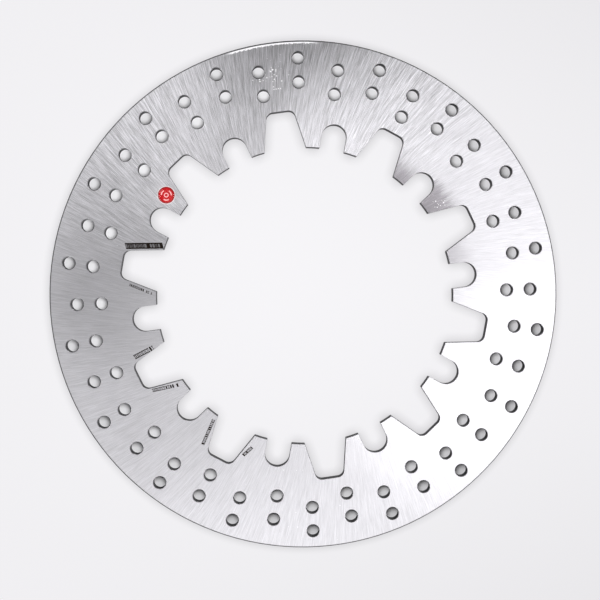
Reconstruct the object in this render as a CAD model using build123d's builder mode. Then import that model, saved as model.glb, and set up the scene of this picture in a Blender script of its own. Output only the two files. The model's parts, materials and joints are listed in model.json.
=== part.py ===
# Floating brake rotor: a flat, drilled steel ring whose castellated inner edge rides on
# ten drive bobbins, with a small domed badge stuck to its upper face.
#
# Millimetres. +Z is up, through the ring's thickness. The origin is the centre of the
# lower face, and the first bobbin slot is centred on +X. Radial sizes are stacked inward
# from the rim, so the hole band, the windows and the teeth follow the outer diameter.

import os
from math import asin, cos, degrees, hypot, radians, sin

from build123d import *

# Plate
outer_diameter = 285.0
thickness = 5.0
rim_chamfer = 0.4
profile_break = 0.12  # light edge break all round the laser-cut inner profile

# Drilled band: columns of two holes, every second column shifted inward
hole_diameter = 7.0
column_count = 36
hole_pitch = 13.4  # radial, between the two holes of a column
column_stagger = 5.6  # radial shift of every second column
first_column_angle = 4.0  # from the first slot to the first outer column
rim_web = 6.0  # steel between the rim and the outermost holes
root_web = 6.5  # steel between the innermost holes and the windows
hole_chamfer = 0.3

# Bobbin slots: parallel flanks and a half-round end, open towards the centre
slot_count = 10
slot_width = 14.0
slot_reach = 7.0  # from the tooth tips to the centre of the half-round end

# Lightening windows: one midway between each pair of slots, open towards the centre
window_depth = 20.5  # from the tooth tips to the window's outer edge
window_floor_width = 15.2  # between the outer corners, before they are rounded
window_corner_radius = 4.0
tooth_tip_width = 7.4  # chord along one tooth's tip

# Badge: a printed label under a clear resin dome
badge_diameter = 10.0
badge_inset = 8.1  # from the windows' outer edge in to the badge's centre
badge_slot = 4  # the badge is on the tooth just before this slot, the first being 0
label_thickness = 0.2
label_border = 0.15  # bare label round the resin
dome_height = 0.7
dome_edge_height = 0.35
dome_edge_radius = 0.25

# Places that follow from the sizes above
outer_radius = outer_diameter / 2
hole_radius = hole_diameter / 2
outer_row_radius = outer_radius - rim_web - hole_radius
inner_row_radius = outer_row_radius - column_stagger - hole_pitch
window_edge_radius = inner_row_radius - hole_radius - root_web
tip_radius = window_edge_radius - window_depth
slot_radius = slot_width / 2
slot_centre_radius = tip_radius + slot_reach
half_pitch = 180.0 / slot_count
column_pitch = 360.0 / column_count

# The window's mouth takes what the slot and one tooth tip on each side leave
slot_half_angle = degrees(asin(slot_radius / tip_radius))
tooth_tip_angle = 2 * degrees(asin(tooth_tip_width / 2 / tip_radius))
mouth_half_angle = half_pitch - slot_half_angle - tooth_tip_angle
mouth_half_width = tip_radius * sin(radians(mouth_half_angle))
mouth_radius = tip_radius * cos(radians(mouth_half_angle))
flank_slope = (mouth_half_width - window_floor_width / 2) / (window_edge_radius - mouth_radius)


def window_half_width(distance):
    """Half the window's width at a distance along its axis from the ring's centre."""
    return window_floor_width / 2 + flank_slope * (window_edge_radius - distance)


def web_middle_angle(radius):
    """The angle from a slot's axis at which a point is as near the slot as the window."""
    low, high = 0.0, half_pitch
    for _ in range(40):
        angle = (low + high) / 2
        along, across = radius * cos(radians(angle)), radius * sin(radians(angle))
        to_slot = hypot(along - slot_centre_radius, across) - slot_radius
        from_window = radians(half_pitch - angle)
        side = radius * sin(from_window) - window_half_width(radius * cos(from_window))
        to_window = side / hypot(1, flank_slope)
        low, high = (low, angle) if to_slot > to_window else (angle, high)
    return (low + high) / 2


# One window, drawn about the middle of its outer edge with the ring's centre towards -X
window_run = window_depth * 1.5
with BuildSketch() as window:
    inner_half_width = window_half_width(window_edge_radius - window_run)
    with BuildLine():
        Polyline(
            (0, window_floor_width / 2),
            (-window_run, inner_half_width),
            (-window_run, -inner_half_width),
            (0, -window_floor_width / 2),
            close=True,
        )
    make_face()
    fillet(window.vertices().group_by(Axis.X)[-1], window_corner_radius)

# The ring itself
with BuildPart() as rotor_ring:
    with BuildSketch():
        Circle(outer_radius)
        Circle(tip_radius, mode=Mode.SUBTRACT)
        with PolarLocations(slot_centre_radius, slot_count):
            Circle(slot_radius, mode=Mode.SUBTRACT)
            Rectangle(
                slot_reach + slot_radius,
                slot_width,
                align=(Align.MAX, Align.CENTER),
                mode=Mode.SUBTRACT,
            )
        with PolarLocations(window_edge_radius, slot_count, start_angle=half_pitch):
            add(window.sketch, mode=Mode.SUBTRACT)
    extrude(amount=thickness)

    # The inner profile is broken first, while it is still the only inner edge
    flat_faces = rotor_ring.faces().filter_by(Axis.Z)
    chamfer([face.inner_wires()[0].edges() for face in flat_faces], profile_break)

    # Outer columns, then the staggered ones between them
    for shift, first_angle in (
        (0, first_column_angle),
        (column_stagger, first_column_angle + column_pitch),
    ):
        for radius in (outer_row_radius - shift, outer_row_radius - shift - hole_pitch):
            with PolarLocations(radius, column_count // 2, start_angle=first_angle):
                Hole(hole_radius)

    circles = rotor_ring.edges().filter_by(GeomType.CIRCLE)
    chamfer(circles.filter_by(lambda edge: abs(edge.radius - hole_radius) < 1e-6), hole_chamfer)
    rim = rotor_ring.edges().filter_by(GeomType.CIRCLE).group_by(SortBy.RADIUS)[-1]
    chamfer(rim, rim_chamfer)

# The badge stands on the upper face, in the middle of the steel between slot and window
badge_radius = window_edge_radius - badge_inset
badge_angle = 2 * half_pitch * badge_slot - web_middle_angle(badge_radius)
badge_centre = Vector(badge_radius, 0, thickness).rotate(Axis.Z, badge_angle)
outward = Vector(1, 0, 0).rotate(Axis.Z, badge_angle)
sideways = Vector(0, 1, 0).rotate(Axis.Z, badge_angle)

with BuildPart() as badge_label:
    with BuildSketch(Plane(badge_centre, x_dir=outward, z_dir=(0, 0, 1))):
        Circle(badge_diameter / 2)
    extrude(amount=label_thickness)

# The dome is half of its section, turned about the badge's own upright axis
dome_foot = badge_centre + Vector(0, 0, label_thickness)
dome_radius = badge_diameter / 2 - label_border
crown_radius = (dome_radius**2 + (dome_height - dome_edge_height) ** 2) / (
    2 * (dome_height - dome_edge_height)
)
with BuildPart() as badge_dome:
    with BuildSketch(Plane(dome_foot, x_dir=outward, z_dir=-sideways)) as dome_section:
        with BuildLine():
            Polyline((0, dome_height), (0, 0), (dome_radius, 0), (dome_radius, dome_edge_height))
            RadiusArc((0, dome_height), (dome_radius, dome_edge_height), crown_radius)
        make_face()
    revolve(axis=Axis(dome_foot, (0, 0, 1)))
    rings = badge_dome.edges().filter_by(lambda edge: edge.is_closed).sort_by(Axis.Z)
    fillet(rings[-1], dome_edge_radius)

os.makedirs("parts", exist_ok=True)
for name, piece in (
    ("rotor_ring", rotor_ring),
    ("badge_label", badge_label),
    ("badge_dome", badge_dome),
):
    piece.part.label = name
    export_step(piece.part, f"parts/{name}.step")

print(f"tooth tips at radius {tip_radius:.2f}, slots on a {2 * slot_centre_radius:.2f} circle")
print(f"badge at radius {badge_radius:.2f}, angle {badge_angle:.2f}")
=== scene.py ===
import json
import math

import bmesh
import bpy
from mathutils import Matrix, Vector


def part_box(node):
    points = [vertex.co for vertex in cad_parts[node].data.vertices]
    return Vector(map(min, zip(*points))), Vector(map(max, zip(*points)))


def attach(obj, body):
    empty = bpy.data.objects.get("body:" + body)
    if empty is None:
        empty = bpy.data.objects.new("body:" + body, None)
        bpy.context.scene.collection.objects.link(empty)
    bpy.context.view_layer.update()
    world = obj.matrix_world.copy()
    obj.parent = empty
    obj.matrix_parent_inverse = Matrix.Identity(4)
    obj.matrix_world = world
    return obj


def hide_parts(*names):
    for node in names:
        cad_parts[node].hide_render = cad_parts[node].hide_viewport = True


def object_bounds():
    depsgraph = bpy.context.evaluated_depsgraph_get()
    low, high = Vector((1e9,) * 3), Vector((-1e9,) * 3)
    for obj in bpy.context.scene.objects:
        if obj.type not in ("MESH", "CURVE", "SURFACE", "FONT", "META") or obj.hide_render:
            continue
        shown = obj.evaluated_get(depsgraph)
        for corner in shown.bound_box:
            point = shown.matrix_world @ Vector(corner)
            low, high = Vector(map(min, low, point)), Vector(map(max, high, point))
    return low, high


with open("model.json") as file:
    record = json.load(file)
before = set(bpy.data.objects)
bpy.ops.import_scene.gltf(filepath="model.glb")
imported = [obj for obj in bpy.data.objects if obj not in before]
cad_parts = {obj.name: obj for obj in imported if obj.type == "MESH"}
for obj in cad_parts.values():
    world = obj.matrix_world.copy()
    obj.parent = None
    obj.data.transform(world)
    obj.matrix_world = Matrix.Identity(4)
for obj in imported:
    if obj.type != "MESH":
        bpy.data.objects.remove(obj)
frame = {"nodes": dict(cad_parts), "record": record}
cadBounds = [[float(v) for v in corner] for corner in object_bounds()]

# Places and sizes that everything below works from, in metres
rotorRing = frame["nodes"]["rotor_ring"]
badgeLabel = frame["nodes"]["badge_label"]
ringLow, ringHigh = (Vector(corner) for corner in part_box("rotor_ring"))
labelLow, labelHigh = (Vector(corner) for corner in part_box("badge_label"))
domeLow, domeHigh = (Vector(corner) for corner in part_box("badge_dome"))
upperFace = ringHigh.z
rimRadius = (ringHigh.x - ringLow.x) / 2
badgeCentre = (labelLow + labelHigh) / 2
mounts = {mount["name"]: mount for mount in frame["record"]["mounts"]}
slotPitch = 360 / mounts["bobbin_slots"]["dims"]["count"]  # degrees
toMillimetres = 1000.0
print("frame loaded: ring of", round(2 * rimRadius * toMillimetres, 1), "mm")


# Short forms for building node trees: an input is either a number or another node's output


def addNode(tree, kind, inputs=None, **settings):
    node = tree.nodes.new(kind)
    for name, value in settings.items():
        setattr(node, name, value)
    for name, value in (inputs or {}).items():
        feed(tree, node.inputs[name], value)
    return node


def feed(tree, socket, value):
    if isinstance(value, bpy.types.NodeSocket):
        tree.links.new(value, socket)
    else:
        socket.default_value = value


def calc(tree, operation, *values, clamp=False):
    inputs = dict(enumerate(values))
    return addNode(tree, "ShaderNodeMath", inputs, operation=operation, use_clamp=clamp).outputs[0]


def times(tree, first, *others):
    result = first
    for value in others:
        result = calc(tree, "MULTIPLY", result, value)
    return result


def vectorCalc(tree, operation, *values):
    inputs = dict(enumerate(values))
    return addNode(tree, "ShaderNodeVectorMath", inputs, operation=operation).outputs["Vector"]


def vectorLength(tree, vector):
    return addNode(tree, "ShaderNodeVectorMath", {0: vector}, operation="LENGTH").outputs["Value"]


def flattened(tree, vector):
    return vectorCalc(tree, "MULTIPLY", vector, (1, 1, 0))


def scaled(tree, vector, amount):
    inputs = {0: vector, "Scale": amount}
    return addNode(tree, "ShaderNodeVectorMath", inputs, operation="SCALE").outputs["Vector"]


def turned(tree, vector, angle):
    inputs = {"Vector": vector, "Angle": angle}
    return addNode(tree, "ShaderNodeVectorRotate", inputs, rotation_type="Z_AXIS").outputs["Vector"]


def turnedBack(tree, vector, angle):
    return turned(tree, vector, calc(tree, "MULTIPLY", angle, -1.0))


def axes(tree, vector):
    return addNode(tree, "ShaderNodeSeparateXYZ", {"Vector": vector}).outputs


def azimuthOf(tree, vector):
    parts = axes(tree, vector)
    return calc(tree, "ARCTAN2", parts["Y"], parts["X"])


def remap(tree, value, low, high, toLow=0.0, toHigh=1.0, soft=True):
    kind = "SMOOTHSTEP" if soft else "LINEAR"
    inputs = {"Value": value, "From Min": low, "From Max": high, "To Min": toLow, "To Max": toHigh}
    return addNode(tree, "ShaderNodeMapRange", inputs, interpolation_type=kind).outputs[0]


def sway(tree, pattern, middle, amount):
    # a noise pattern spread evenly to middle plus or minus amount
    return remap(tree, pattern, 0.3, 0.7, middle - amount, middle + amount, soft=False)


def within(tree, value, low, high, edge):
    # 1 between low and high, fading to 0 over edge on either side
    rise = remap(tree, value, low - edge, low + edge)
    fall = remap(tree, value, high - edge, high + edge, 1.0, 0.0)
    return times(tree, rise, fall)


def blendColour(tree, factor, first, second, kind="MIX"):
    node = addNode(tree, "ShaderNodeMix", data_type="RGBA", blend_type=kind, clamp_factor=True)
    feed(tree, node.inputs[0], factor)
    feed(tree, node.inputs[6], first)
    feed(tree, node.inputs[7], second)
    return node.outputs[2]


def shaded(tree, colour, tone):
    return blendColour(tree, 1.0, colour, tone, "MULTIPLY")


def blendValue(tree, factor, first, second):
    return addNode(tree, "ShaderNodeMix", {0: factor, 2: first, 3: second}, data_type="FLOAT").outputs[0]


def noise(tree, vector, scale, detail=2.0):
    inputs = {"Vector": vector, "Scale": scale, "Detail": detail}
    return addNode(tree, "ShaderNodeTexNoise", inputs).outputs[0]


def strongest(tree, values):
    result = values[0]
    for value in values[1:]:
        result = calc(tree, "MAXIMUM", result, value)
    return result


def objectMillimetres(tree):
    return scaled(tree, addNode(tree, "ShaderNodeTexCoord").outputs["Object"], toMillimetres)


def startGroup(name, inputs, output):
    tree = bpy.data.node_groups.new(name, "ShaderNodeTree")
    tree.interface.new_socket("Position", in_out="INPUT", socket_type="NodeSocketVector")
    for socketName, value in inputs.items():
        socket = tree.interface.new_socket(socketName, in_out="INPUT", socket_type="NodeSocketFloat")
        socket.default_value = value
    tree.interface.new_socket(output, in_out="OUTPUT", socket_type="NodeSocketFloat")
    return tree, tree.nodes.new("NodeGroupInput").outputs, tree.nodes.new("NodeGroupOutput").inputs[0]


def useGroup(tree, group, position, **inputs):
    node = addNode(tree, "ShaderNodeGroup", node_tree=group)
    feed(tree, node.inputs["Position"], position)
    for name, value in inputs.items():
        feed(tree, node.inputs[name], value)
    return node.outputs[0]


def startMaterial(name):
    material = bpy.data.materials.new(name)
    material.use_nodes = True
    tree = material.node_tree
    tree.nodes.clear()
    shader = tree.nodes.new("ShaderNodeBsdfPrincipled")
    output = tree.nodes.new("ShaderNodeOutputMaterial")
    tree.links.new(shader.outputs[0], output.inputs["Surface"])
    return material, tree, shader


def dress(node, material):
    node.data.materials.clear()
    node.data.materials.append(material)


# Groups: each takes a position in millimetres and gives one mask or pattern


def makeGrindLines():
    # lines that run outward and lean back as they go, as a cup wheel leaves them on a flat disc
    inputs = {"Lean": 0.16, "Count": 150.0, "Run": 0.05, "Detail": 2.0}
    tree, given, out = startGroup("grindLines", inputs, "Lines")
    flat = flattened(tree, given["Position"])
    radius = calc(tree, "MAXIMUM", vectorLength(tree, flat), 1.0)
    lean = times(tree, calc(tree, "LOGARITHM", radius, math.e), given["Lean"])
    around = vectorCalc(tree, "NORMALIZE", turned(tree, flat, lean))
    around = scaled(tree, around, given["Count"])
    rise = times(tree, radius, given["Run"])
    along = addNode(tree, "ShaderNodeCombineXYZ", {"Z": rise}).outputs[0]
    place = vectorCalc(tree, "ADD", around, along)
    inputs = {"Vector": place, "Detail": given["Detail"], "Roughness": 0.65}
    lines = addNode(tree, "ShaderNodeTexNoise", inputs, normalize=True).outputs[0]
    tree.links.new(lines, out)
    return tree


# each tick is a plain upright, or an open one with strokes across its ends, or is left out
tickShape = {
    "narrow": 0.28,  # half widths as shares of the pitch
    "wide": 0.44,
    "strokesFrom": 0.62,  # share of the half height where the strokes begin
    "plain": 0.55,  # share of the ticks that are plain
    "opening": 0.4,  # share of the half width that is open
    "skipped": 0.12,  # share of the ticks left out
    "cutOutBand": 0.56,  # share of a solid bar's half height that its light ticks fill
    "cutOutDepth": 0.5,
}


def makeEtchedRow():
    # one row of upright ticks, with uneven widths and gaps, or a solid bar with light ticks cut out
    inputs = {"Azimuth": 0.0, "Radius": 95.0, "Heading": 0.0, "Length": 15.0, "Height": 2.0}
    inputs.update({"Pitch": 1.0, "Slant": 0.2, "Solid": 0.0, "Seed": 0.0})
    tree, given, out = startGroup("etchedRow", inputs, "Ink")
    local = turnedBack(tree, given["Position"], given["Azimuth"])
    centre = addNode(tree, "ShaderNodeCombineXYZ", {"X": given["Radius"]}).outputs[0]
    local = vectorCalc(tree, "SUBTRACT", local, centre)
    local = axes(tree, turnedBack(tree, local, given["Heading"]))
    along = calc(tree, "ADD", local["X"], times(tree, local["Y"], given["Slant"]))
    across = calc(tree, "ABSOLUTE", local["Y"])
    halfLength = times(tree, given["Length"], 0.5)
    halfHeight = times(tree, given["Height"], 0.5)

    # each cell along the row draws its own tick from three seeded numbers
    cell = calc(tree, "DIVIDE", along, given["Pitch"])
    number = calc(tree, "ADD", calc(tree, "FLOOR", cell), given["Seed"])
    chance = addNode(tree, "ShaderNodeTexWhiteNoise", {"W": number}, noise_dimensions="1D").outputs
    draws = addNode(tree, "ShaderNodeSeparateColor", {0: chance["Color"]}).outputs
    place = calc(tree, "ABSOLUTE", calc(tree, "SUBTRACT", calc(tree, "FRACT", cell), 0.5))
    width = remap(tree, draws[0], 0.0, 1.0, tickShape["narrow"], tickShape["wide"], soft=False)
    upright = calc(tree, "LESS_THAN", place, width)
    ends = calc(tree, "GREATER_THAN", across, times(tree, halfHeight, tickShape["strokesFrom"]))
    strokes = times(tree, ends, calc(tree, "GREATER_THAN", draws[1], tickShape["plain"]))
    sides = calc(tree, "GREATER_THAN", place, times(tree, width, tickShape["opening"]))
    plain = calc(tree, "LESS_THAN", draws[1], tickShape["plain"])
    upright = times(tree, upright, strongest(tree, [sides, plain]))
    tick = strongest(tree, [upright, strokes])
    tick = times(tree, tick, calc(tree, "GREATER_THAN", draws[2], tickShape["skipped"]))

    band = calc(tree, "LESS_THAN", across, times(tree, halfHeight, tickShape["cutOutBand"]))
    cutOut = calc(tree, "SUBTRACT", 1.0, times(tree, tick, band, tickShape["cutOutDepth"]))
    ink = blendValue(tree, given["Solid"], tick, cutOut)
    inside = calc(tree, "LESS_THAN", calc(tree, "ABSOLUTE", along), halfLength)
    inside = times(tree, inside, calc(tree, "LESS_THAN", across, halfHeight))
    tree.links.new(times(tree, ink, inside), out)
    return tree


def makeStrewnSpecks():
    # small bright crumbs, thick at a centre and thinning out over Spread
    inputs = {"Azimuth": 0.0, "Radius": 120.0, "Spread": 10.0, "Size": 0.25, "Density": 0.6, "Amount": 0.3}
    tree, given, out = startGroup("strewnSpecks", inputs, "Specks")
    local = turnedBack(tree, given["Position"], given["Azimuth"])
    centre = addNode(tree, "ShaderNodeCombineXYZ", {"X": given["Radius"]}).outputs[0]
    local = flattened(tree, vectorCalc(tree, "SUBTRACT", local, centre))
    away = calc(tree, "DIVIDE", vectorLength(tree, local), given["Spread"])
    inputs = {"Vector": local, "Scale": given["Density"]}
    cells = addNode(tree, "ShaderNodeTexVoronoi", inputs, voronoi_dimensions="2D", feature="F1").outputs
    draws = addNode(tree, "ShaderNodeSeparateColor", {0: cells["Color"]}).outputs
    size = times(tree, given["Size"], given["Density"], draws[1])
    paleMark = calc(tree, "LESS_THAN", cells["Distance"], size)
    keep = times(tree, given["Amount"], remap(tree, away, 0.1, 1.0, 1.0, 0.0))
    paleMark = times(tree, paleMark, calc(tree, "LESS_THAN", draws[0], keep))
    tree.links.new(paleMark, out)
    return tree


def makeShadedTip():
    # a tooth tip painted darker as painted shade where it misses the highlight, ending outward in a ragged
    # edge along the grinding lines
    inputs = {"Azimuth": 0.0, "HalfWidth": 0.15, "Reach": 96.0, "Fade": 4.0, "Ragged": 0.0}
    tree, given, out = startGroup("shadedTip", inputs, "TipShade")
    local = turnedBack(tree, given["Position"], given["Azimuth"])
    angle = calc(tree, "ABSOLUTE", azimuthOf(tree, local))
    side = calc(tree, "LESS_THAN", angle, given["HalfWidth"])
    radius = vectorLength(tree, flattened(tree, local))
    edge = calc(tree, "ADD", given["Reach"], given["Ragged"])
    past = calc(tree, "DIVIDE", calc(tree, "SUBTRACT", edge, radius), given["Fade"])
    tree.links.new(times(tree, side, calc(tree, "ADD", past, 0.5, clamp=True)), out)
    return tree


grindLines = makeGrindLines()
etchedRow = makeEtchedRow()
strewnSpecks = makeStrewnSpecks()
shadedTip = makeShadedTip()
print("pattern groups done")


# The ring: ground faces, cut walls painted near black as painted shade, etched rows, crumbs, and painted
# shade and a painted highlight at the tooth tips and the rim

groundSteel = {
    "colour": (0.55, 0.542, 0.568, 1),
    "roughness": 0.35,
    "roughnessSpread": 0.05,
    "markRoughness": 0.7,  # of ink, crumbs and the painted rim highlight, and of the walls in part
    "wallShare": 0.6,  # how far the walls go towards that
    "anisotropy": 1.0,
    "strayContrast": (0.25, 0.75),
    "grooveLean": 16.0,  # degrees, of the finest grooves that shape the gloss
    "lineLean": 9.0,  # degrees, of the lines wide enough to see
    "wander": 8.0,  # degrees that the grooves stray either way
    "wanderLines": {"Count": 120.0, "Run": 0.014, "Detail": 4.0},
    "lineContrast": (0.42, 0.58),  # the part of the pattern that goes from darkest to lightest
    "lineDepth": 0.17,
    "sheenSide": 97.0,  # degrees: the azimuth where the grind lines are painted with more contrast, standing in for how the light brings them out on that side: painted light
    "sheenFade": (0.3, 0.85),  # cosines of the angle from there, where that begins and is full
    "sheenDepth": 0.5,
    "cloudScale": 0.03,  # per millimetre
    "cloudDepth": 0.015,
    "bumpStrength": 0.04,
    "bumpDistance": 0.0001,
}

# lines across the ground face: lean as a share of lineLean and share of the tone, then how many there are
# and how fast they change outward
grindSets = {
    "fine": {"lean": 1.0, "share": 0.32, "Count": 230.0, "Run": 0.02, "Detail": 3.0},
    "medium": {"lean": 1.15, "share": 0.36, "Count": 120.0, "Run": 0.014, "Detail": 3.0},
    "broad": {"lean": 1.3, "share": 0.14, "Count": 26.0, "Run": 0.02, "Detail": 2.0},
    "crossing": {"lean": 0.1, "share": 0.18, "Count": 170.0, "Run": 0.025, "Detail": 2.0},
}

# tooth tips painted darker as painted shade: degrees and millimetres
tipShadeColour = (0.27, 0.255, 0.275, 1)
tipShadeContrast = (0.4, 0.6, 0.7, 1.35)  # pattern from and to, tone from and to
tipShadeRagged = 7.0  # millimetres that the outer edge strays
shadedTips = {
    "first": {"Azimuth": 42.5, "HalfWidth": 7.0, "Reach": 91.5, "Fade": 6.0, "strength": 0.95},
    "second": {"Azimuth": 27.0, "HalfWidth": 7.0, "Reach": 97.5, "Fade": 5.0, "strength": 1.0},
    "third": {"Azimuth": 8.0, "HalfWidth": 8.0, "Reach": 93.0, "Fade": 11.0, "strength": 0.45},
}

# beside the rim's bevel: a dark line all round, painted shade for the dark that the bevel and the edge's
# roll-off reflect, and a bright jagged line on part of it, a painted highlight, in degrees and millimetres
rimShadeAndGlint = {
    "bevelWidth": 0.4,
    "rimShadeColour": (0.012, 0.012, 0.013, 1),
    "rimShadeWidth": 0.45,
    "rimShadeDepth": 0.8,
    "glintAzimuth": 90.0,
    "glintHalfWidth": 11.5,
    "glintFade": 3.0,
    "glintInner": 140.8,
    "glintOuter": 141.6,
    "glintJag": 0.45,
    "glintGrain": 1.5,
    "glintContrast": (0.35, 0.65),
}

# rows etched beside the windows: degrees and radius in millimetres from the window's axis, the way the row
# heads from that axis, then its size in millimetres. Solid makes it a bar.
inkColour = (0.03, 0.022, 0.018, 1)
etchedRows = {
    "barRow": {"window": 4, "offset": -7.4, "Radius": 94.3, "heading": 10.9, "Length": 20.7, "Height": 3.34},
    "fineRow": {"window": 4, "offset": 7.5, "Radius": 92.1, "heading": -12.2, "Length": 13.2, "Height": 1.3},
    "openRow": {"window": 5, "offset": -6.9, "Radius": 95.7, "heading": 1.7, "Length": 12.0, "Height": 2.6},
    "longRow": {"window": 5, "offset": 7.1, "Radius": 93.7, "heading": -13.8, "Length": 15.2, "Height": 1.95},
    "plainRow": {"window": 6, "offset": -7.6, "Radius": 93.8, "heading": 4.4, "Length": 15.7, "Height": 1.85},
    "shortRow": {"window": 6, "offset": 7.6, "Radius": 93.2, "heading": -20.0, "Length": 6.7, "Height": 1.9},
}
rowTicks = {
    "barRow": {"Pitch": 1.5, "Slant": 0.25, "Solid": 1.0},
    "fineRow": {"Pitch": 1.0, "Slant": 0.1},
    "openRow": {"Pitch": 1.7, "Slant": 0.15},
    "longRow": {"Pitch": 1.25, "Slant": 0.15},
    "plainRow": {"Pitch": 1.1, "Slant": 0.1},
    "shortRow": {"Pitch": 1.2, "Slant": 0.1},
}

# crumbs: degrees and millimetres, cells per millimetre and the share of them that hold a crumb
# this pale colour paints the crumbs and also the painted highlight along the rim
crumbAndGlintColour = (0.93, 0.92, 0.94, 1)
crumbPatches = {
    "top": {"Azimuth": 91.0, "Radius": 124.5, "Spread": 13.0, "Size": 0.45, "Density": 0.75, "Amount": 0.62},
    "toothTip": {"Azimuth": 27.0, "Radius": 91.5, "Spread": 7.0, "Size": 0.34, "Density": 0.9, "Amount": 0.5},
    "byBadge": {"Azimuth": 158.0, "Radius": 108.5, "Spread": 5.0, "Size": 0.3, "Density": 0.6, "Amount": 0.3},
    "low": {"Azimuth": 262.0, "Radius": 122.0, "Spread": 45.0, "Size": 0.22, "Density": 0.25, "Amount": 0.2},
}

# upward share of a face's direction: walls below, bevels between, ground faces above
facingLimits = {"wall": (0.3, 0.2), "bevel": (0.95, 0.9)}

# walls: the profile is cut, with a lighter stripe between two dark ones; the holes and the rim are turned.
# The cut walls and the holes are painted near black, far darker than the turned rim: painted shade for the
# shade inside the cuts and holes
walls = {
    "cutColour": (0.022, 0.021, 0.023, 1),
    "stripeColour": (0.085, 0.083, 0.087, 1),
    "stripeLow": 0.38,  # shares of the thickness
    "stripeHigh": 0.6,
    "stripeEdge": 0.12,
    "cutGrain": (2.4, 2.4, 0.25),  # per millimetre
    "cutContrast": (0.3, 0.7, 0.4, 1.0),  # pattern from and to, stripe from and to
    "boreColour": (0.028, 0.027, 0.029, 1),
    "rimColour": (0.3, 0.295, 0.31, 1),
    "turnedGrain": (0.05, 0.05, 6.0),
    "turnedDepth": 0.2,
    "holesFrom": 106.0,  # millimetres: walls inside this are profile cuts, walls outside it are drilled holes
    "rimBand": 1.0,  # millimetres in from the outer edge that count as rim
}


def groundColour(tree, place, upper, lines, streak):
    # the ground tone, its grind lines painted with more contrast on one side of the ring as painted light,
    # and the tooth tips painted darker as painted shade
    side = turned(tree, place, -math.radians(groundSteel["sheenSide"]))
    side = axes(tree, vectorCalc(tree, "NORMALIZE", side))["X"]
    near = remap(tree, side, *groundSteel["sheenFade"])
    # painted light: stronger line contrast on one side of the ring
    depth = blendValue(tree, near, groundSteel["lineDepth"], groundSteel["sheenDepth"])
    tone = remap(tree, streak, *groundSteel["lineContrast"], -1.0, 1.0, soft=False)
    tone = calc(tree, "MULTIPLY_ADD", tone, depth, 1.0)
    cloud = sway(tree, noise(tree, place, groundSteel["cloudScale"], 3.0), 1.0, groundSteel["cloudDepth"])
    colour = shaded(tree, groundSteel["colour"], times(tree, tone, cloud))

    ragged = sway(tree, lines["medium"], 0.0, tipShadeRagged)
    tips = []
    for given in shadedTips.values():
        sizes = {key: math.radians(given[key]) for key in ("Azimuth", "HalfWidth")}
        sizes.update({key: given[key] for key in ("Reach", "Fade")})
        tip = useGroup(tree, shadedTip, place, Ragged=ragged, **sizes)
        tips.append(times(tree, tip, given["strength"]))
    # painted shade on the tooth tips
    tipShade = times(tree, strongest(tree, tips), upper)
    tipShadeTone = remap(tree, streak, *tipShadeContrast, soft=False)
    return blendColour(tree, tipShade, colour, shaded(tree, tipShadeColour, tipShadeTone))


# painted shade: a dark band on the face just inside the rim's bevel
def rimShadeMask(tree, radius, upper):
    flatEdge = rimRadius * toMillimetres - rimShadeAndGlint["bevelWidth"]
    rimShade = remap(tree, radius, flatEdge - rimShadeAndGlint["rimShadeWidth"], flatEdge)
    return times(tree, rimShade, upper, rimShadeAndGlint["rimShadeDepth"])


# a painted highlight: a bright jagged line just inside the rim on part of its round
def glintMask(tree, place, radius, upper):
    local = turned(tree, place, -math.radians(rimShadeAndGlint["glintAzimuth"]))
    angle = calc(tree, "ABSOLUTE", azimuthOf(tree, local))
    halfWidth = math.radians(rimShadeAndGlint["glintHalfWidth"])
    glint = remap(tree, angle, halfWidth, halfWidth - math.radians(rimShadeAndGlint["glintFade"]))
    grain = noise(tree, place, rimShadeAndGlint["glintGrain"], 3.0)
    reach = rimShadeAndGlint["glintJag"]
    jag = remap(tree, grain, *rimShadeAndGlint["glintContrast"], -reach, reach, soft=False)
    past = calc(tree, "GREATER_THAN", calc(tree, "ADD", radius, jag), rimShadeAndGlint["glintInner"])
    short = calc(tree, "LESS_THAN", radius, rimShadeAndGlint["glintOuter"])
    return times(tree, glint, past, short, upper)


def inkMask(tree, place, upper):
    inks = []
    for name, given in etchedRows.items():
        sizes = {key: given[key] for key in ("Radius", "Length", "Height")}
        sizes["Azimuth"] = math.radians((given["window"] + 0.5) * slotPitch + given["offset"])
        sizes["Heading"] = math.radians(given["heading"] - given["offset"])
        sizes["Seed"] = given["Radius"]
        inks.append(useGroup(tree, etchedRow, place, **sizes, **rowTicks[name]))
    return times(tree, strongest(tree, inks), upper)


def crumbMask(tree, place, upper):
    crumbs = []
    for given in crumbPatches.values():
        sizes = dict(given, Azimuth=math.radians(given["Azimuth"]))
        crumbs.append(useGroup(tree, strewnSpecks, place, **sizes))
    return times(tree, strongest(tree, crumbs), upper)


def wallColour(tree, place, outside, drilled):
    height = calc(tree, "DIVIDE", axes(tree, place)["Z"], upperFace * toMillimetres)
    striation = noise(tree, vectorCalc(tree, "MULTIPLY", place, walls["cutGrain"]), 1.0)
    stripe = within(tree, height, walls["stripeLow"], walls["stripeHigh"], walls["stripeEdge"])
    stripe = times(tree, stripe, remap(tree, striation, *walls["cutContrast"]))
    # painted shade: the cut walls and the holes are near black
    cutTone = blendColour(tree, stripe, walls["cutColour"], walls["stripeColour"])
    rings = noise(tree, vectorCalc(tree, "MULTIPLY", place, walls["turnedGrain"]), 1.0)
    rimTone = shaded(tree, walls["rimColour"], sway(tree, rings, 1.0, walls["turnedDepth"]))
    boreTone = blendColour(tree, rings, walls["cutColour"], walls["boreColour"])
    colour = blendColour(tree, drilled, cutTone, boreTone)
    return blendColour(tree, outside, colour, rimTone)


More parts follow.
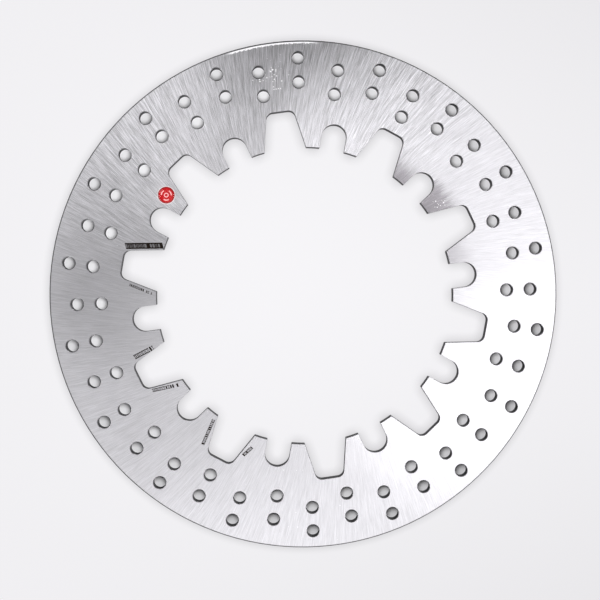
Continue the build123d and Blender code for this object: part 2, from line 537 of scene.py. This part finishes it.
def makeGroundSteel():
    material, tree, shader = startMaterial("ground_steel")
    place = objectMillimetres(tree)
    radius = vectorLength(tree, flattened(tree, place))
    normal = axes(tree, addNode(tree, "ShaderNodeNewGeometry").outputs["True Normal"])["Z"]
    facing = calc(tree, "ABSOLUTE", normal)
    wall = remap(tree, facing, *facingLimits["wall"], soft=False)
    notFlat = remap(tree, facing, *facingLimits["bevel"], soft=False)
    upper = calc(tree, "GREATER_THAN", normal, facingLimits["bevel"][0])
    outside = calc(tree, "GREATER_THAN", radius, rimRadius * toMillimetres - walls["rimBand"])
    drilled = calc(tree, "GREATER_THAN", radius, walls["holesFrom"])

    lean = math.tan(math.radians(groundSteel["lineLean"]))
    lines = {}
    streak = 0.0
    for name, given in grindSets.items():
        sizes = {key: given[key] for key in ("Count", "Run", "Detail")}
        lines[name] = useGroup(tree, grindLines, place, Lean=lean * given["lean"], **sizes)
        streak = calc(tree, "ADD", times(tree, lines[name], given["share"]), streak)

    colour = groundColour(tree, place, upper, lines, streak)
    # painted shade along the rim
    colour = blendColour(tree, rimShadeMask(tree, radius, upper), colour, rimShadeAndGlint["rimShadeColour"])
    ink = inkMask(tree, place, upper)
    colour = blendColour(tree, ink, colour, inkColour)
    # pale crumbs, and the painted highlight along the rim
    paleMark = strongest(tree, [glintMask(tree, place, radius, upper), crumbMask(tree, place, upper)])
    colour = blendColour(tree, paleMark, colour, crumbAndGlintColour)
    # the outer rim's bevel is painted dark as painted shade; the other bevels keep the steel colour
    bevel = calc(tree, "SUBTRACT", notFlat, wall, clamp=True)
    bevelTone = blendColour(tree, outside, groundSteel["colour"], rimShadeAndGlint["rimShadeColour"])
    colour = blendColour(tree, bevel, colour, bevelTone)
    colour = blendColour(tree, wall, colour, wallColour(tree, place, outside, drilled))
    feed(tree, shader.inputs["Base Color"], colour)

    feed(tree, shader.inputs["Metallic"], calc(tree, "SUBTRACT", 1.0, paleMark))
    rough = sway(tree, lines["medium"], groundSteel["roughness"], groundSteel["roughnessSpread"])
    matt = strongest(tree, [paleMark, ink, times(tree, wall, groundSteel["wallShare"])])
    feed(tree, shader.inputs["Roughness"], blendValue(tree, matt, rough, groundSteel["markRoughness"]))
    shader.inputs["Anisotropic"].default_value = groundSteel["anisotropy"]
    shader.inputs["Anisotropic Rotation"].default_value = -groundSteel["grooveLean"] / 360
    tangent = addNode(tree, "ShaderNodeTangent", direction_type="RADIAL", axis="Z").outputs[0]
    stray = useGroup(tree, grindLines, place, Lean=lean, **groundSteel["wanderLines"])
    wander = math.radians(groundSteel["wander"])
    stray = remap(tree, stray, *groundSteel["strayContrast"], -wander, wander, soft=False)
    feed(tree, shader.inputs["Tangent"], turned(tree, tangent, stray))
    relief = {"Strength": groundSteel["bumpStrength"], "Distance": groundSteel["bumpDistance"]}
    bump = addNode(tree, "ShaderNodeBump", {"Height": lines["fine"], **relief})
    feed(tree, shader.inputs["Normal"], bump.outputs[0])
    return material


dress(rotorRing, makeGroundSteel())
print("ring dressed")


# The badge: a printed label under a clear dome

# millimetres from the label's middle; an arc's start and end are shares of the way round to the next arc
badgePrintAndShade = {
    "red": (0.4, 0.003, 0.006, 1),
    # a darker red towards the label's edge: painted shade standing in for the dome's refraction at its steep
    # edge
    "edgeShadeRed": (0.15, 0.001, 0.003, 1),
    "pale": (0.75, 0.42, 0.43, 1),
    "edge": (0.8, 0.74, 0.75, 1),
    "ringRadius": 1.05,
    "ringHalfWidth": 0.24,
    "arcRadius": 2.75,
    "arcHalfWidth": 0.3,
    "lineEdge": 0.05,
    "arcs": 3,
    "arcTurn": 3.2,
    "arcFrom": 0.12,
    "arcTo": 0.62,
    "arcFade": 0.02,
    "edgeShadeFrom": 1.6,  # in from the edge, like the next three
    "edgeShadeTo": 0.3,
    "edgeFrom": 0.42,
    "edgeTo": 0.3,
    "grainScale": 2.5,
    "grainDepth": 0.08,
    "roughness": 0.375,
    "roughnessSpread": 0.075,
    "roughnessScale": 6.0,
    "specular": 0.1,
}


def makeBadgePrintAndShade():
    material, tree, shader = startMaterial("badge_print")
    centre = badgeCentre * toMillimetres
    local = vectorCalc(tree, "SUBTRACT", objectMillimetres(tree), (centre.x, centre.y, 0))
    radius = vectorLength(tree, flattened(tree, local))
    edge = (labelHigh.x - labelLow.x) / 2 * toMillimetres
    ringRadius, halfWidth = badgePrintAndShade["ringRadius"], badgePrintAndShade["ringHalfWidth"]
    ring = within(tree, radius, ringRadius - halfWidth, ringRadius + halfWidth, badgePrintAndShade["lineEdge"])
    arcRadius, halfWidth = badgePrintAndShade["arcRadius"], badgePrintAndShade["arcHalfWidth"]
    arc = within(tree, radius, arcRadius - halfWidth, arcRadius + halfWidth, badgePrintAndShade["lineEdge"])
    turn = calc(tree, "DIVIDE", azimuthOf(tree, local), 2 * math.pi)
    share = calc(tree, "MULTIPLY_ADD", turn, float(badgePrintAndShade["arcs"]), badgePrintAndShade["arcTurn"])
    share = calc(tree, "FRACT", share)
    arcShare = within(tree, share, badgePrintAndShade["arcFrom"], badgePrintAndShade["arcTo"], badgePrintAndShade["arcFade"])
    emblem = strongest(tree, [ring, times(tree, arc, arcShare)])

    # painted shade: the red darkens towards the label's edge
    shade = remap(tree, radius, edge - badgePrintAndShade["edgeShadeFrom"], edge - badgePrintAndShade["edgeShadeTo"])
    grain = sway(tree, noise(tree, local, badgePrintAndShade["grainScale"], 3.0), 1.0, badgePrintAndShade["grainDepth"])
    colour = shaded(tree, blendColour(tree, shade, badgePrintAndShade["red"], badgePrintAndShade["edgeShadeRed"]), grain)
    colour = blendColour(tree, emblem, colour, badgePrintAndShade["pale"])
    border = remap(tree, radius, edge - badgePrintAndShade["edgeFrom"], edge - badgePrintAndShade["edgeTo"])
    feed(tree, shader.inputs["Base Color"], blendColour(tree, border, colour, badgePrintAndShade["edge"]))
    grain = noise(tree, local, badgePrintAndShade["roughnessScale"])
    rough = sway(tree, grain, badgePrintAndShade["roughness"], badgePrintAndShade["roughnessSpread"])
    feed(tree, shader.inputs["Roughness"], rough)
    shader.inputs["Specular IOR Level"].default_value = badgePrintAndShade["specular"]
    return material


# sunk, in metres, closes the gap to the label; a higher shoulder is a squarer one
domeShape = {"rings": 20, "sides": 128, "sunk": 0.00005, "shoulder": 2.6}


def makeBadgeDome():
    # a lathed cap: the height falls off slowly from the middle and quickly at the shoulder
    radius = (domeHigh.x - domeLow.x) / 2
    base, top = domeLow.z - domeShape["sunk"], domeHigh.z
    mesh = bpy.data.meshes.new("badge_resin_cap")
    shape = bmesh.new()
    previous = [shape.verts.new((badgeCentre.x, badgeCentre.y, top))]
    for step in range(1, domeShape["rings"] + 1):
        share = math.sin(math.pi / 2 * step / domeShape["rings"])
        fall = (1 - share ** domeShape["shoulder"]) ** (1 / domeShape["shoulder"])
        ring = circle(shape, radius * share, domeLow.z + (top - domeLow.z) * fall)
        join(shape, previous, ring)
        previous = ring
    foot = circle(shape, radius, base)
    join(shape, previous, foot)
    shape.faces.new(list(reversed(foot)))
    bmesh.ops.recalc_face_normals(shape, faces=shape.faces)
    shape.to_mesh(mesh)
    shape.free()
    mesh.polygons.foreach_set("use_smooth", [True] * len(mesh.polygons))
    cap = bpy.data.objects.new("badge_resin_cap", mesh)
    bpy.context.collection.objects.link(cap)
    return cap


def circle(shape, radius, height):
    verts = []
    for side in range(domeShape["sides"]):
        angle = 2 * math.pi * side / domeShape["sides"]
        x = badgeCentre.x + radius * math.cos(angle)
        y = badgeCentre.y + radius * math.sin(angle)
        verts.append(shape.verts.new((x, y, height)))
    return verts


def join(shape, inner, outer):
    for side in range(len(outer)):
        following = (side + 1) % len(outer)
        if len(inner) == 1:
            shape.faces.new((inner[0], outer[side], outer[following]))
        else:
            shape.faces.new((inner[side], outer[side], outer[following], inner[following]))


badgeResin = {
    "colour": (0.98, 0.96, 0.96, 1),
    "ior": 1.36,
    "roughness": 0.03,
    "roughnessSpread": 0.02,
    "roughnessScale": 1.2,
    "rippleScale": 0.5,
    "rippleStrength": 0.05,
    "rippleDistance": 0.0001,
}


def makeBadgeResin():
    material, tree, shader = startMaterial("badge_resin")
    place = objectMillimetres(tree)
    shader.inputs["Base Color"].default_value = badgeResin["colour"]
    shader.inputs["Transmission Weight"].default_value = 1.0
    shader.inputs["IOR"].default_value = badgeResin["ior"]
    smears = noise(tree, place, badgeResin["roughnessScale"])
    rough = sway(tree, smears, badgeResin["roughness"], badgeResin["roughnessSpread"])
    feed(tree, shader.inputs["Roughness"], rough)
    ripple = noise(tree, place, badgeResin["rippleScale"])
    relief = {"Strength": badgeResin["rippleStrength"], "Distance": badgeResin["rippleDistance"]}
    bump = addNode(tree, "ShaderNodeBump", {"Height": ripple, **relief})
    feed(tree, shader.inputs["Normal"], bump.outputs[0])

    # the lamps reach the label straight through the dome
    letThrough = addNode(tree, "ShaderNodeBsdfTransparent").outputs[0]
    shadowRay = addNode(tree, "ShaderNodeLightPath").outputs["Is Shadow Ray"]
    mixed = addNode(tree, "ShaderNodeMixShader", {0: shadowRay, 1: shader.outputs[0], 2: letThrough})
    tree.links.new(mixed.outputs[0], tree.nodes["Material Output"].inputs["Surface"])
    return material


dress(badgeLabel, makeBadgePrintAndShade())
badgeDome = makeBadgeDome()
dress(badgeDome, makeBadgeResin())
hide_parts("badge_dome")
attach(badgeDome, "root")
print("badge done")


# Bench, lights and camera: the bench's own right and back, as the camera sees them, are turned a little
# from the ring's axes

benchTurn = math.radians(-8.05)


def onBench(right, back, up):
    return Matrix.Rotation(benchTurn, 3, "Z") @ Vector((right, back, up))


# radii and reaches of the paper's pattern in millimetres, sizes of the bench in metres
bench = {
    "size": 8.0,
    "gap": 0.00002,
    "paper": (0.92, 0.915, 0.935, 1),
    "roughness": 0.9,
    "glow": 0.865,  # painted light: the paper glows where the ring doesn't cover it
    "glowColour": (0.985, 0.975, 1.0, 1),
    "openPaper": 0.06,  # share of the paper's own colour where it glows
    "coverInner": 108.0,
    "coverOuter": 139.5,
    "coverEdge": 2.0,
    # the glow dims towards the far corners on one side: painted shade
    "fallReach": 170.0,
    "fallLimit": 1.3,
    "fallPower": 1.5,
    "fallDepth": 0.06,
    "nearReach": 0.006,  # metres from the ring over which the glow dims: a painted contact shadow
    "nearShade": 0.7,
    "nearContrast": (0.3, 1.0),
}


def makeBenchPaper():
    material, tree, shader = startMaterial("bench_paper")
    place = objectMillimetres(tree)
    parts = axes(tree, place)
    radius = vectorLength(tree, flattened(tree, place))
    # painted light: the paper glows only where the ring doesn't cover it, dimmed near the ring as a painted
    # contact shadow and towards the corners on one side as painted shade
    covered = within(tree, radius, bench["coverInner"], bench["coverOuter"], bench["coverEdge"])
    clear = calc(tree, "SUBTRACT", 1.0, covered)
    near = addNode(tree, "ShaderNodeAmbientOcclusion", {"Distance": bench["nearReach"]}).outputs["AO"]
    near = remap(tree, near, *bench["nearContrast"], bench["nearShade"], 1.0, soft=False)
    side = remap(tree, parts["X"], -bench["fallReach"], bench["fallReach"], soft=False)
    away = calc(tree, "DIVIDE", calc(tree, "ABSOLUTE", parts["Y"]), bench["fallReach"])
    away = calc(tree, "POWER", calc(tree, "MINIMUM", away, bench["fallLimit"]), bench["fallPower"])
    fall = calc(tree, "MULTIPLY_ADD", times(tree, side, away), -bench["fallDepth"], 1.0)
    glow = times(tree, clear, bench["glow"], fall, near)
    feed(tree, shader.inputs["Emission Color"], shaded(tree, bench["glowColour"], glow))
    shader.inputs["Emission Strength"].default_value = 1.0
    tone = blendValue(tree, clear, 1.0, bench["openPaper"])
    feed(tree, shader.inputs["Base Color"], shaded(tree, bench["paper"], tone))
    shader.inputs["Roughness"].default_value = bench["roughness"]
    shader.inputs["Specular IOR Level"].default_value = 0.0
    return material


def makeBench():
    half = bench["size"] / 2
    level = cadBounds[0][2] - bench["gap"]
    mesh = bpy.data.meshes.new("bench")
    corners = [(-half, -half, level), (half, -half, level), (half, half, level), (-half, half, level)]
    mesh.from_pydata(corners, [], [(0, 1, 2, 3)])
    mesh.materials.append(makeBenchPaper())
    floor = bpy.data.objects.new("bench", mesh)
    floor.rotation_euler = (0, 0, benchTurn)
    bpy.context.collection.objects.link(floor)
    return floor


benchTop = makeBench()

# Lamps hang level: left, right, front and back edges in metres from the ring's axis, then brightness.
# The softboxes light the ring and badge, and one smaller lamp, low over the middle, lights the bench.
softboxHeight = 1.3
softboxes = {
    "key": (0.3, 1.2, -0.4, 0.25, 4.1),
    "left": (-1.8, -0.6, -0.4, 0.4, 2.9),
    "front": (-2.5, 3.0, -2.5, -0.4, 1.6),
    "backRight": (0.9, 1.9, 0.8, 1.8, 4.0),
    "backLeft": (-0.8, -0.4, 0.3, 0.7, 2.6),
    "overhead": (-0.3, 0.2, -0.9, 0.4, 0.8),
}
benchLampHeight = 0.2
benchLamp = (-0.09, 0.05, -0.05, 0.09, 8.8)
roomLight = 0.2


def hangLamp(name, height, left, right, front, back, brightness):
    lamp = bpy.data.lights.new(name, "AREA")
    lamp.shape = "RECTANGLE"
    lamp.size = right - left
    lamp.size_y = back - front
    lamp.energy = brightness * math.pi * lamp.size * lamp.size_y
    holder = bpy.data.objects.new(name, lamp)
    holder.location = onBench((left + right) / 2, (front + back) / 2, upperFace + height)
    holder.rotation_euler = (0, 0, benchTurn)
    bpy.context.collection.objects.link(holder)
    return holder


def lightOnly(lamps, things, name):
    receivers = bpy.data.collections.new(name)
    for thing in things:
        receivers.objects.link(thing)
    for lamp in lamps:
        lamp.light_linking.receiver_collection = receivers


overRing = [hangLamp(name, softboxHeight, *edges) for name, edges in softboxes.items()]
lightOnly(overRing, [rotorRing, badgeLabel, badgeDome], "ringAndBadge")
overBench = [hangLamp("benchLamp", benchLampHeight, *benchLamp)]
lightOnly(overBench, [benchTop], "benchOnly")

world = bpy.data.worlds.new("studio")
world.use_nodes = True
world.node_tree.nodes["Background"].inputs["Color"].default_value = (1, 1, 1, 1)
world.node_tree.nodes["Background"].inputs["Strength"].default_value = roomLight
bpy.context.scene.world = world
bpy.context.scene.view_settings.view_transform = "Standard"

# eye and aim in metres from the ring's axis and upper face, roll in degrees
camera = {
    "lens": 52.0,
    "sensor": 36.0,
    "eye": (-0.02, 0.016, 0.486),
    "aim": (-0.0031, -0.0019, 0.0),
    "roll": 0.18,
}


def placeCamera():
    data = bpy.data.cameras.new("camera")
    data.lens = camera["lens"]
    data.sensor_width = camera["sensor"]
    eye = onBench(*camera["eye"])
    forward = (onBench(*camera["aim"]) - eye).normalized()
    upright = Matrix.Rotation(math.radians(camera["roll"]), 3, "Z") @ onBench(0, 1, 0)
    right = forward.cross(upright).normalized()
    facing = Matrix((right, right.cross(forward), -forward)).transposed().to_4x4()
    holder = bpy.data.objects.new("camera", data)
    holder.matrix_world = Matrix.Translation(eye + Vector((0, 0, upperFace))) @ facing
    bpy.context.collection.objects.link(holder)
    bpy.context.scene.camera = holder


placeCamera()
print("bench, lights and camera done")
